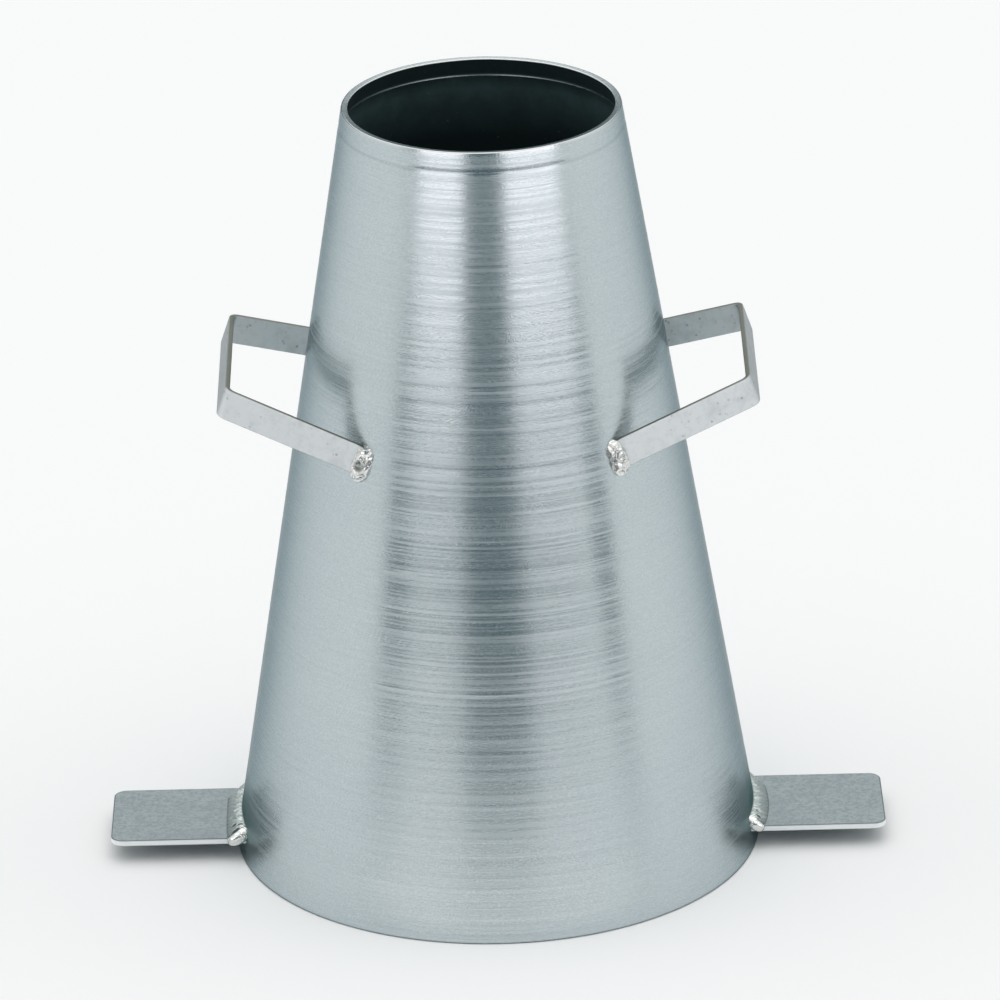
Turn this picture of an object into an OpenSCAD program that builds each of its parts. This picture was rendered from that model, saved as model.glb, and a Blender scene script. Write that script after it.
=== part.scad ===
// Slump cone: a spun steel mould for testing fresh concrete, open at both ends,
// with two handles of bent flat bar and two foot plates welded to the shell.
// The origin is the centre of the base. +Z is up, and the handles and foot plates lie along X.

/* [Shell] */
// Height of the mould
height = 300; // [280:1:320]
// Inside diameter at the base
base_d = 200; // [190:1:215]
// Inside diameter at the mouth
mouth_d = 100; // [90:1:110]
// Thickness of the spun sheet
wall = 1.5; // [1.2:0.1:2.4]
// Width of the flat rim round the mouth
rim_width = 2.6; // [2.6:0.1:4]
// Depth of the thickened lip inside the mouth
lip_depth = 7.5; // [5:0.5:12]
// Bevel on the outer edge of the rim
rim_bevel = 0.5; // [0.2:0.1:1]

/* [Handles] */
// Width of the flat bar
bar_width = 11.5; // [8:0.5:16]
// Thickness of the flat bar
bar_thickness = 2; // [1.5:0.5:5]
// Inside radius of the two bends
bend_r = 3; // [2:0.5:8]
// Distance from the shell to the outside of the grip, at the height of the grip
grip_standoff = 31; // [26:0.5:50]
// Height of the middle of the grip above the base
grip_height = 197.5; // [170:0.5:220]
// Length of the grip between its bends
grip_straight = 70; // [50:1:85]
// Distance between the inside edges of the two legs where they meet the shell
leg_spread = 108; // [90:1:116]
// Angle at which the handle rises away from the shell
rise_angle = 19; // [5:1:30]
// How far the inside edge of a leg runs into the shell before it is coped
leg_bite = 2; // [1.5:0.5:4]

/* [Foot plates] */
// Distance from the shell to the outer end of the plate, along its top
plate_length = 50; // [30:1:80]
// Width of the plate
plate_width = 46; // [30:1:70]
// Thickness of the plate
plate_thickness = 2.5; // [2:0.5:5]
// Height of the underside of the plate above the base
plate_height = 6.5; // [4:0.5:20]
// Radius of the two outer corners
plate_corner_r = 5; // [2:0.5:12]

/* [Welds] */
// Radius of the fillet weld on top of a foot plate
upper_weld_r = 4.4; // [3:0.1:6]
// Radius of the fillet weld under a foot plate
lower_weld_r = 3; // [2:0.1:3.8]
// How far a foot weld runs past each side of its plate
weld_overlap = 1; // [0.5:0.1:2]
// Length of a handle weld along the leg
handle_weld_length = 9; // [7:0.5:12]
// How far a handle weld laps back over the leg
handle_weld_lap = 3.5; // [2.5:0.5:5]
// Depth of a handle weld across the leg
handle_weld_depth = 6.4; // [5:0.1:9]
// How far a handle weld hangs below the bar
handle_weld_tail = 3.5; // [1:0.5:6]
// How far a handle weld stands above the bar
handle_weld_head = 1; // [0.5:0.1:3]
// Distance from one weld ripple to the next
ripple_pitch = 1.8; // [1.4:0.1:3]

/* [Hidden] */

$fn = 240;
shell_color = [0.66, 0.70, 0.72];
bar_color = [0.80, 0.81, 0.82];
plate_color = [0.60, 0.63, 0.64];
weld_color = [0.74, 0.75, 0.74];

// Shell: the outside runs straight from the base to the rim, and the wall is measured square to it.
mouth_r = mouth_d / 2;
base_r = base_d / 2;
rim_r = mouth_r + rim_width;
slope_guess = (base_r - rim_r) / height;
wall_across = wall * sqrt(1 + slope_guess * slope_guess);
foot_r = base_r + wall_across;
slope = (foot_r - rim_r) / height;
function outside_r(z) = foot_r - slope * z;
function inside_r(z) = outside_r(z) - wall_across;

// Handle: the bar is drawn in its own plane, with X outwards from the grip's outside face.
grip_reach = outside_r(grip_height) + grip_standoff;
bar_outer_r = bend_r + bar_thickness;
bend_centre = [-bar_outer_r, grip_straight / 2];
// The leg's inside edge meets the cone at half the leg spread: the root of a x^2 + b x + c = 0,
// where the handle's rising plane cuts the cone.
rise = tan(rise_angle);
cone_at_axis = outside_r(grip_height - grip_reach * rise);
seat_a = 1 - pow(slope * rise, 2);
seat_b = 2 * cone_at_axis * slope * rise;
seat_c = pow(leg_spread / 2, 2) - pow(cone_at_axis, 2);
seat_x = (-seat_b + sqrt(seat_b * seat_b - 4 * seat_a * seat_c)) / (2 * seat_a);
leg_seat = [(seat_x - grip_reach) / cos(rise_angle), leg_spread / 2];
// The leg leaves the bend along the tangent that passes through its seat.
leg_offset = leg_seat - bend_centre;
seat_run = sqrt(leg_offset * leg_offset - bend_r * bend_r);
leg_run = seat_run + leg_bite;
bend_angle = atan2(leg_offset.y, leg_offset.x) - atan2(seat_run, bend_r);
leg_across = [cos(bend_angle), sin(bend_angle)];
leg_along = [-leg_across.y, leg_across.x];
bend_steps = 12;
// One face of the bar on the rear half, from the start of its bend, at radius r, to the end of its leg
function bar_face(r) = concat(
    [for (i = [0 : bend_steps])
        let (turn = bend_angle * i / bend_steps)
        bend_centre + r * [cos(turn), sin(turn)]],
    [bend_centre + r * leg_across + leg_run * leg_along]);
function in_front_half(points) = [for (p = points) [p.x, -p.y]];
function reversed(points) = [for (i = [len(points) - 1 : -1 : 0]) points[i]];

// Foot plate
plate_top = plate_height + plate_thickness;
plate_reach = outside_r(plate_top) + plate_length;
plate_middle = plate_height + plate_thickness / 2;

// Weld beads: rings of a sweep, swollen and drawn in by turns, small at both ends.
bead_sides = 10;
bead_end_share = 0.5;
bead_valley_share = 0.86;
bead_wobble_share = 0.07;
bead_wobble_angle = 67;
function bead_rings(length) = 2 * round(length / ripple_pitch);
function bead_share(i, rings) =
    i == 0 || i == rings ? bead_end_share
    : (i % 2 == 0 ? bead_valley_share : 1) + bead_wobble_share * sin(i * bead_wobble_angle);

// Solid through a row of closed rings that all have as many points
module loft(rings) {
    n = len(rings[0]);
    last = len(rings) - 1;
    sides = [for (i = [0 : last - 1], j = [0 : n - 1])
        let (a = i * n + j, b = i * n + (j + 1) % n)
        each [[a, a + n, b + n], [a, b + n, b]]];
    ends = [[for (j = [0 : n - 1]) j], [for (j = [n - 1 : -1 : 0]) last * n + j]];
    polyhedron([for (ring = rings) each ring], concat(sides, ends));
}

// Everything inside the shell's outer face
module shell_envelope() {
    cylinder(h = height, r1 = foot_r, r2 = rim_r);
}

module cone_shell() {
    color(shell_color) rotate_extrude() polygon([
        [base_r, 0],
        [foot_r, 0],
        [outside_r(height - rim_bevel), height - rim_bevel],
        [rim_r - rim_bevel, height],
        [mouth_r, height],
        [inside_r(height - lip_depth), height - lip_depth]]);
}

// Carries what is drawn in the handle's own plane to its place on the right of the cone.
module in_handle_plane() {
    translate([grip_reach, 0, grip_height]) rotate([0, -rise_angle, 0]) children();
}

// The flat bar bent in its plane, from the end of the front leg round to the end of the rear leg
module handle_bar() {
    outside = bar_face(bar_outer_r);
    inside = bar_face(bend_r);
    in_handle_plane() translate([0, 0, -bar_width / 2]) linear_extrude(bar_width)
        polygon(concat(reversed(in_front_half(outside)), outside, reversed(inside), in_front_half(inside)));
}

// The bar with its leg ends coped to the shell
module handle() {
    color(bar_color) difference() {
        handle_bar();
        shell_envelope();
    }
}

// Weld that fills the corner between the square end of the rear leg and the shell
module handle_weld() {
    length = handle_weld_tail + bar_width + handle_weld_head;
    rings = bead_rings(length);
    reach = handle_weld_length / 2 - handle_weld_lap;
    middle = leg_seat + leg_across * bar_thickness / 2 + leg_along * reach;
    along = leg_along * handle_weld_length / 2;
    across = leg_across * handle_weld_depth / 2;
    color(weld_color) difference() {
        in_handle_plane() loft([for (i = [0 : rings])
            let (z = -bar_width / 2 - handle_weld_tail + length * i / rings, share = bead_share(i, rings))
            [for (j = [0 : bead_sides - 1])
                let (turn = 360 * j / bead_sides, p = middle + share * (across * cos(turn) + along * sin(turn)))
                [p.x, p.y, z]]]);
        handle_bar();
        shell_envelope();
    }
}

module plate_blank() {
    square_end = plate_reach - plate_corner_r;
    translate([0, 0, plate_height]) linear_extrude(plate_thickness) {
        translate([0, -plate_width / 2]) square([square_end, plate_width]);
        translate([0, plate_corner_r - plate_width / 2]) square([plate_reach, plate_width - 2 * plate_corner_r]);
        for (side = [-1, 1])
            translate([square_end, side * (plate_width / 2 - plate_corner_r)]) circle(plate_corner_r);
    }
}

// The plate with its root coped to the shell
module foot_plate() {
    color(plate_color) difference() {
        plate_blank();
        shell_envelope();
    }
}

// Rippled bead round the shell, along the corner that a face of the plate makes with it
module foot_bead(z, r) {
    corner_r = outside_r(z);
    half_angle = asin((plate_width / 2 + weld_overlap) / corner_r);
    rings = bead_rings(plate_width + 2 * weld_overlap);
    loft([for (i = [0 : rings])
        let (angle = half_angle * (2 * i / rings - 1), ring_r = r * bead_share(i, rings))
        [for (j = [0 : bead_sides - 1])
            let (turn = 360 * j / bead_sides, reach = corner_r + ring_r * cos(turn))
            [reach * cos(angle), reach * sin(angle), z + ring_r * sin(turn)]]]);
}

// Half of space above or below the middle of the plate, as large as the beads need
module beyond_plate_middle(up) {
    depth = plate_thickness + upper_weld_r + lower_weld_r;
    translate([0, -plate_width, up ? plate_middle - depth : plate_middle])
        cube([plate_reach, 2 * plate_width, depth]);
}

module foot_upper_weld() {
    color(weld_color) difference() {
        foot_bead(plate_top, upper_weld_r);
        plate_blank();
        beyond_plate_middle(true);
        shell_envelope();
    }
}

module foot_lower_weld() {
    color(weld_color) difference() {
        foot_bead(plate_height, lower_weld_r);
        plate_blank();
        beyond_plate_middle(false);
        shell_envelope();
    }
}

module on_left() {
    mirror([1, 0, 0]) children();
}

module in_front() {
    mirror([0, 1, 0]) children();
}

cone_shell();
on_left() handle();  // left_handle
handle();  // right_handle
on_left() foot_plate();  // left_foot_plate
foot_plate();  // right_foot_plate
on_left() in_front() handle_weld();  // left_handle_front_weld
on_left() handle_weld();  // left_handle_rear_weld
in_front() handle_weld();  // right_handle_front_weld
handle_weld();  // right_handle_rear_weld
on_left() foot_upper_weld();  // left_foot_upper_weld
on_left() foot_lower_weld();  // left_foot_lower_weld
foot_upper_weld();  // right_foot_upper_weld
foot_lower_weld();  // right_foot_lower_weld
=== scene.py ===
import math

import bmesh
import bpy
from bpy.props import FloatProperty, FloatVectorProperty, IntProperty, PointerProperty
from mathutils import Matrix, Vector


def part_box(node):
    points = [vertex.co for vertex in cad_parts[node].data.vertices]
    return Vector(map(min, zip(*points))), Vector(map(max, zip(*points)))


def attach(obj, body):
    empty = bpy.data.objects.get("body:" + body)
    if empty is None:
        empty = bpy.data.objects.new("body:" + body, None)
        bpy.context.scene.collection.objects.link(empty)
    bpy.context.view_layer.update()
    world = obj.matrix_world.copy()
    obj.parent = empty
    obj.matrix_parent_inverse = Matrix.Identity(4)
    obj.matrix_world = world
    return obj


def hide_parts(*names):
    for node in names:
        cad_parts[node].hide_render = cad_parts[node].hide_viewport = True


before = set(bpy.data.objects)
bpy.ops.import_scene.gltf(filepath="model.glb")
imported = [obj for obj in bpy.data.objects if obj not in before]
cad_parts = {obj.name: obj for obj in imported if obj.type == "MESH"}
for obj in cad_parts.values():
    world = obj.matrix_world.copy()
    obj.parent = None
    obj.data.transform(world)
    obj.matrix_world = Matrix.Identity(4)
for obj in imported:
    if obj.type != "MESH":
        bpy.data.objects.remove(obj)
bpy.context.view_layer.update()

bl_info = {
    "name": "Slump cone",
    "version": (1, 0, 0),
    "blender": (4, 5, 0),
    "location": "3D View > Sidebar > Slump cone",
    "description": "Dresses the packed slump cone as welded, zinc-plated steel and sets its studio",
    "category": "Object",
}

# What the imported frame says
_, SHELL_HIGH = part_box("cone_shell")
PLATE_LOW, PLATE_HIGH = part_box("right_foot_plate")
MM = 0.001
SIDES = {"left": -1, "right": 1}
ENDS = {"front": -1, "rear": 1}
# Flat spots of the handle welds: share up the weld, turn round it in degrees, depth, darkness painted on as
# shade
FACETS = {
    "left": ((0.60, 5, 0.5 * MM, 0.0), (-0.70, 15, 0.4 * MM, 0.0), (0.95, -40, 0.5 * MM, 0.9)),
    "right": ((0.62, 15, 0.5 * MM, 0.0), (0.24, 60, 0.5 * MM, 0.8), (0.14, -15, 0.3 * MM, 0.3),
              (-0.25, 48, 0.4 * MM, 0.6), (-0.42, -10, 0.3 * MM, 0.1), (-0.75, 25, 0.5 * MM, 0.0))}
# Round hollows of the handle welds, painted dark as shade: share up the weld, turn round it in degrees,
# radius
HOLLOWS = {
    "left": ((0.26, 48, 1.3 * MM), (-0.08, -10, 2.6 * MM)),
    "right": ((-0.05, 30, 1.0 * MM),)}
# Pits of the upper foot welds, painted dark as shade: distance behind the front end, share across the bead,
# radius
PITS = {
    "left": ((3.6 * MM, -0.3, 1.4 * MM), (8.5 * MM, -0.35, 0.9 * MM), (7 * MM, 0.35, 1.0 * MM)),
    "right": ((5.0 * MM, -0.1, 1.0 * MM), (8.5 * MM, 0.1, 0.7 * MM))}


def length(name, description, default):
    return FloatProperty(name=name, description=description, default=default, min=0,
                         precision=5, unit="LENGTH", subtype="DISTANCE")


def angle(name, description, default):
    return FloatProperty(name=name, description=description, default=math.radians(default),
                         unit="ROTATION", subtype="ANGLE")


def share(name, description, default):
    return FloatProperty(name=name, description=description, default=default, min=0, max=1,
                         subtype="FACTOR")


def colour(name, description, default):
    return FloatVectorProperty(name=name, description=description, default=default, size=3,
                               min=0, max=1, subtype="COLOR")


# Sizes and colours that a user would change


class ShellSizes(bpy.types.PropertyGroup):
    height: length("Height", "Height of the mould", SHELL_HIGH.z)
    foot_r: length("Foot radius", "Outside radius at the base", SHELL_HIGH.x)
    mouth_r: length("Mouth radius", "Inside radius at the mouth", 50 * MM)
    rim_width: length("Rim width", "Width of the flat rim", 2.6 * MM)
    wall: length("Wall", "Thickness of the sheet, measured level", 1.52 * MM)
    lip_depth: length("Lip depth", "Depth of the thickened lip in the mouth", 7.5 * MM)
    edge: length("Edge", "Rounding on the outer edges of the rim and base", 0.45 * MM)
    rim_round: length("Rim rounding", "Rounding on the inner edge of the rim", 0.35 * MM)
    rim_fall: angle("Rim fall", "Slope of the rim down towards the mouth", 3.5)
    groove_width: length("Groove width", "Half width of the groove behind the lip", 0.9 * MM)
    groove_depth: length("Groove depth", "Depth of the groove behind the lip", 0.1 * MM)
    line_height: length("Line height", "Height of the raised line round the shell", 96 * MM)
    line_width: length("Line width", "Half width of the raised line", 0.5 * MM)
    line_rise: length("Line rise", "How far the line stands out", 0.04 * MM)
    ring_step: length("Ring step", "Distance between two rings of the mesh", 0.8 * MM)
    ring_pitch: length("Ring pitch", "Usual distance between two spinning marks", 2.6 * MM)
    ring_depth: length("Ring depth", "Depth of the spinning marks", 0.05 * MM)
    sectors: IntProperty(name="Sectors", description="Faces round the shell", default=192, min=24)
    seed: IntProperty(name="Seed", description="Seed of the spinning marks", default=4)


class HandleSizes(bpy.types.PropertyGroup):
    bar_width: length("Bar width", "Width of the flat bar", 11.5 * MM)
    bar_thickness: length("Bar thickness", "Thickness of the flat bar", 2 * MM)
    bar_edge: length("Bar edge", "Rounding on the edges of the bar", 0.4 * MM)
    bend_r: length("Bend radius", "Inside radius of the bends", 3 * MM)
    standoff: length("Standoff", "From the shell to the outside of the grip", 31 * MM)
    grip_height: length("Grip height", "Height of the middle of the grip", 197.5 * MM)
    grip_straight: length("Grip length", "Length of the grip between its bends", 70 * MM)
    leg_spread: length("Leg spread", "Between the legs' inside edges at the shell", 108 * MM)
    leg_bite: length("Leg bite", "How far a leg runs on past its seat", 2 * MM)
    rise: angle("Rise", "Angle at which the handle rises", 19)


class PlateSizes(bpy.types.PropertyGroup):
    reach: length("Reach", "From the axis to the outer end", PLATE_HIGH.x)
    half_width: length("Half width", "Half the width of the plate", PLATE_HIGH.y)
    bottom: length("Bottom", "Height of the underside", PLATE_LOW.z)
    top: length("Top", "Height of the top", PLATE_HIGH.z)
    corner_r: length("Corner radius", "Radius of the outer corners", 5 * MM)
    edge: length("Edge", "Rounding on the edges of the plate", 0.6 * MM)


class WeldSizes(bpy.types.PropertyGroup):
    plate_leg: length("Plate leg", "Leg of a fillet weld along the top of a plate", 5.4 * MM)
    shell_leg: length("Shell leg", "Leg of a fillet weld up the shell", 3.6 * MM)
    lower_leg: length("Lower leg", "Legs of a fillet weld under a plate", 3 * MM)
    front_wrap: length("Front wrap", "How far an upper foot weld runs past the front of its plate", 0.9 * MM)
    rear_wrap: length("Rear wrap", "How far a foot weld runs past the rear of its plate", 0.8 * MM)
    lower_short: length("Lower short", "How far a lower foot weld ends before the front of its plate", 5 * MM)
    end_round: length("End round", "Length over which an upper foot weld rounds off at its ends", 2.4 * MM)
    lower_round: length("Lower round", "Length over which a lower foot weld rounds off at its ends", 6 * MM)
    pit_depth: length("Pit depth", "Depth of the pits in a foot weld", 0.5 * MM)
    rear_taper: length("Rear taper", "Length over which a foot weld gets thinner at the rear", 11 * MM)
    rear_share: share("Rear share", "Share of the plate leg that is left at the rear end", 0.3)
    straight_share: share("Straight share", "How straight the upper left and lower right foot welds run", 0.8)
    round_share: share("Round share", "From a flat fillet to a round one", 0.4)
    # The front end is glossier, and its paler colour is a painted highlight
    shine_length: length("Shine length", "Length of the shiny front end of a foot weld", 5 * MM)
    sink: length("Sink", "How far a bead sits in what it joins", 0.4 * MM)
    pitch: length("Ripple pitch", "Distance between two ripples", 3.1 * MM)
    ripple: length("Ripple height", "Height of a ripple", 0.2 * MM)
    ridge: length("Ridge height", "Height of the crumpled ridges of a handle weld", 0.6 * MM)
    ridge_size: length("Ridge size", "Usual distance between two of those ridges", 3.2 * MM)
    lump: length("Lump height", "Height of the uneven swellings", 0.8 * MM)
    lump_size: length("Lump size", "Size of the uneven swellings", 5 * MM)
    blob_length: length("Blob length", "Length of a handle weld along the leg", 8 * MM)
    blob_lap: length("Blob lap", "How far a handle weld laps over the leg", 3 * MM)
    blob_depth: length("Blob depth", "Depth of a handle weld across the leg", 6 * MM)
    blob_tail: length("Blob tail", "How far a handle weld hangs below the bar", 2.8 * MM)
    blob_toe: length("Blob toe", "Height over which a handle weld's relief begins", 1 * MM)
    blob_head: length("Blob head", "How far a handle weld stands above the bar", 0.8 * MM)
    hollow_share: share("Hollow share", "Depth of a handle weld's hollows as a share of their radius", 0.35)
    seed: IntProperty(name="Seed", description="Seed of the uneven swellings", default=7)


class Finishes(bpy.types.PropertyGroup):
    spun_zinc: colour("Spun zinc", "Outside of the shell", (0.52, 0.585, 0.603))
    spun_tint: colour("Spun tint", "Cooler patches on the shell", (0.495, 0.562, 0.586))
    # Heat tint beside the foot welds, which also paints the dark reflection of the foot plates
    heat_tint_and_painted_reflection: colour("Heat tint and painted reflection", "Shell beside the foot welds", (0.085, 0.172, 0.163))
    # Inside colour, kept dark partly as painted shade
    inside_tone_and_painted_shade: colour("Inside", "Dull inside of the shell", (0.13, 0.225, 0.235))
    bar_zinc: colour("Bar zinc", "Handles", (0.68, 0.715, 0.725))
    bar_smudge: colour("Bar smudge", "Marks on the handles", (0.52, 0.555, 0.565))
    # Painted shade along the rounded edges of the handles
    bar_edge_painted_shade: colour("Bar edge shade", "Cut edges of the handles", (0.25, 0.26, 0.23))
    plate_zinc: colour("Plate zinc", "Foot plates", (0.38, 0.425, 0.435))
    plate_tint: colour("Plate tint", "Patches on the foot plates", (0.32, 0.355, 0.38))
    # Painted highlight on the edges of the foot plates
    plate_edge_painted_highlight: colour("Plate edge highlight", "Cut edges of the foot plates", (0.94, 0.96, 0.96))
    weld_zinc: colour("Weld zinc", "Shiny weld metal", (0.74, 0.75, 0.73))
    weld_dull: colour("Weld dull", "Dull weld metal", (0.58, 0.63, 0.61))
    # Painted shade in the hollows of the weld beads, and random dark spots
    weld_painted_shade_and_spots: colour("Weld shade and spots", "Hollows of the weld beads", (0.08, 0.10, 0.09))


class StageSizes(bpy.types.PropertyGroup):
    floor: colour("Floor", "Colour of the floor", (0.96, 0.96, 0.96))
    room: colour("Room", "Dark ends of the room", (0.024, 0.086, 0.105))
    walls: colour("Walls", "Pale sides of the room", (0.95, 0.95, 0.95))
    sky_level: FloatProperty(name="Sky level", description="Brightness straight overhead", default=1.72)
    camera_at: FloatVectorProperty(name="Camera", description="Where the camera stands",
                                   default=(0, -2.6477, 1.27), size=3, subtype="TRANSLATION")
    camera_aim: FloatVectorProperty(name="Aim", description="Point in the middle of the picture",
                                    default=(0.0036, 0, 0.1387), size=3, subtype="TRANSLATION")
    camera_roll: angle("Roll", "Turn of the camera about its line of sight", -1.33)
    camera_lens: FloatProperty(name="Lens", description="Focal length in millimetres", default=271)


def settings():
    return bpy.context.scene.slump_cone


class SlumpCone(bpy.types.PropertyGroup):
    shell: PointerProperty(type=ShellSizes)
    handle: PointerProperty(type=HandleSizes)
    plate: PointerProperty(type=PlateSizes)
    weld: PointerProperty(type=WeldSizes)
    finish: PointerProperty(type=Finishes)
    stage: PointerProperty(type=StageSizes)


# Shapes that pieces share


def outside_r(z):
    """Outside radius of the shell at a height"""
    s = settings().shell
    rim_r = s.mouth_r + s.rim_width
    return s.foot_r + (rim_r - s.foot_r) * z / s.height


def shell_lean():
    """Angle between the shell's outside and the upright"""
    s = settings().shell
    return math.atan2(s.foot_r - s.mouth_r - s.rim_width, s.height)


def mesh_from(name, points, faces):
    mesh = bpy.data.meshes.new(name)
    mesh.from_pydata(points, [], faces)
    mesh.validate()
    return mesh


def tube_faces(rings, sides, closed=False):
    """Quads between rings of as many points, with a cap on each end of an open tube"""
    faces = []
    for i in range(rings if closed else rings - 1):
        for j in range(sides):
            a, b = i * sides + j, i * sides + (j + 1) % sides
            c, d = ((i + 1) % rings) * sides + (j + 1) % sides, ((i + 1) % rings) * sides + j
            faces.append((a, b, c, d))
    if not closed:
        faces += [tuple(range(sides)), tuple(range((rings - 1) * sides, rings * sides))]
    return faces


def arc(steps, begin=0):
    """Angles of a quarter turn in even steps, from a beginning in degrees"""
    return [math.radians(begin + 90 * i / steps) for i in range(steps + 1)]


def add_attribute(mesh, name, values):
    layer = mesh.attributes.new(name, "FLOAT", "POINT")
    layer.data.foreach_set("value", values)


def make_object(name, mesh):
    obj = bpy.data.objects.new(name, mesh)
    bpy.context.scene.collection.objects.link(obj)
    return obj


def flatten(obj):
    """Turns the evaluated object into a plain mesh and removes its modifiers"""
    graph = bpy.context.evaluated_depsgraph_get()
    mesh = bpy.data.meshes.new_from_object(obj.evaluated_get(graph), depsgraph=graph)
    mesh.name = obj.data.name
    obj.modifiers.clear()
    obj.data = mesh


def outward(mesh):
    """Joins points on the same spot and turns all faces outwards"""
    same_spot = 0.001 * MM
    work = bmesh.new()
    work.from_mesh(mesh)
    bmesh.ops.remove_doubles(work, verts=work.verts, dist=same_spot)
    bmesh.ops.recalc_face_normals(work, faces=work.faces)
    work.to_mesh(mesh)
    work.free()


def hard_edged(obj):
    """Smooth shading that keeps wide faces flat and narrow roundings round"""
    obj.data.shade_smooth()
    weighted = obj.modifiers.new("flat faces", "WEIGHTED_NORMAL")
    weighted.weight = 100
    flatten(obj)


def finish_piece(obj, node):
    if not obj.data.polygons:
        raise RuntimeError(obj.name + " has no faces")
    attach(obj, "root")
    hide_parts(node)


# Node trees


class Writer:
    """Short calls that add nodes to a tree and join them"""

    def __init__(self, tree):
        self.tree = tree

    def join(self, source, target):
        self.tree.links.new(source, target)

    def node(self, kind, inputs=None, **settings_of):
        made = self.tree.nodes.new(kind)
        for key, value in settings_of.items():
            setattr(made, key, value)
        for key, value in (inputs or {}).items():
            if isinstance(value, bpy.types.NodeSocket):
                self.join(value, made.inputs[key])
            else:
                made.inputs[key].default_value = value
        return made

    def ramp(self, value, low, high, to_low=0.0, to_high=1.0):
        return self.node("ShaderNodeMapRange", {
            "Value": value, "From Min": low, "From Max": high,
            "To Min": to_low, "To Max": to_high}).outputs["Result"]

    def maths(self, operation, a, b=0.0, clamp=False):
        return self.node("ShaderNodeMath", {0: a, 1: b}, operation=operation,
                         use_clamp=clamp).outputs[0]

    def mix(self, factor, a, b):
        made = self.node("ShaderNodeMix", data_type="RGBA")
        for socket, value in ((made.inputs[0], factor), (made.inputs[6], a), (made.inputs[7], b)):
            if isinstance(value, bpy.types.NodeSocket):
                self.join(value, socket)
            else:
                socket.default_value = value if isinstance(value, float) else (*value, 1)
        return made.outputs[2]


# Materials


class Shader(Writer):
    """A material's node tree, with short calls for its usual nodes"""

    def __init__(self, name):
        self.material = bpy.data.materials.new(name)
        self.material.use_nodes = True
        super().__init__(self.material.node_tree)
        self.tree.nodes.clear()
        self.metal = self.node("ShaderNodeBsdfPrincipled")
        self.node("ShaderNodeOutputMaterial", {"Surface": self.metal.outputs["BSDF"]})
        self.place = self.node("ShaderNodeTexCoord").outputs["Object"]
        self.x, self.y, self.z = self.node("ShaderNodeSeparateXYZ", {0: self.place}).outputs

    def reading(self, name):
        """A value that the mesh carries on its points"""
        return self.node("ShaderNodeAttribute", attribute_name=name).outputs["Fac"]

    def times(self, value, factor):
        return self.maths("MULTIPLY", value, factor)

    def total(self, first, *others):
        for value in others:
            first = self.maths("ADD", first, value)
        return first

    def stretched(self, scale, turn=(0, 0, 0), source=None):
        """Coordinates scaled by axis, in repeats to the metre"""
        return self.node("ShaderNodeMapping", {
            "Vector": source or self.place, "Scale": scale, "Rotation": turn}).outputs[0]

    def noise(self, vector, detail=3.0, rough=0.55, scale=1.0):
        return self.node("ShaderNodeTexNoise", {
            "Vector": vector, "Scale": scale, "Detail": detail, "Roughness": rough}).outputs["Fac"]

    def bump(self, height, strength, distance, under=None):
        inputs = {"Height": height, "Strength": strength, "Distance": distance}
        if under is not None:
            inputs["Normal"] = under
        return self.node("ShaderNodeBump", inputs).outputs["Normal"]

    def vector(self, operation, inputs):
        return self.node("ShaderNodeVectorMath", inputs, operation=operation).outputs

    def swayed(self, amount):
        """Normal turned round the cone's axis by an amount, as an unsteady tool leaves it"""
        left = self.node("ShaderNodeCombineXYZ", {"X": self.times(self.y, -1.0), "Y": self.x}).outputs[0]
        left = self.node("ShaderNodeVectorTransform", {0: left}, vector_type="NORMAL",
                         convert_from="OBJECT", convert_to="WORLD").outputs[0]
        push = self.vector("SCALE", {0: left, "Scale": amount})[0]
        facing = self.node("ShaderNodeNewGeometry").outputs["Normal"]
        return self.vector("NORMALIZE", {0: self.vector("ADD", {0: facing, 1: push})[0]})[0]

    def heat_and_painted_reflection_of_feet(self):
        """How far the shell beside a foot plate is darkened: partly heat tint from welding it, partly a
        painted dark reflection of the plate
        """
        p = settings().plate
        wide, tall = 1.85 * p.half_width, 25 * MM
        above = self.maths("MAXIMUM", self.maths("SUBTRACT", self.z, p.top))
        apart = self.node("ShaderNodeCombineXYZ", {
            "X": self.maths("DIVIDE", self.y, wide), "Y": self.maths("DIVIDE", above, tall)}).outputs[0]
        far = self.vector("LENGTH", {0: apart})["Value"]
        cloud = self.ramp(self.noise(self.place, 2, 0.5, 60), 0.3, 0.7, -0.1, 0.1)
        near = self.ramp(self.maths("ADD", far, cloud), 1.0, 0.35)
        return self.times(near, self.ramp(self.z, 0.0, p.top, 0.2, 0.92))

    def dress(self, base, roughness, normal, edge_tint=(1, 1, 1), metallic=1.0):
        self.metal.inputs["Metallic"].default_value = metallic
        self.metal.inputs["Specular Tint"].default_value = (*edge_tint, 1)
        self.join(base, self.metal.inputs["Base Color"])
        self.join(roughness, self.metal.inputs["Roughness"])
        self.join(normal, self.metal.inputs["Normal"])
        return self.material


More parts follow.
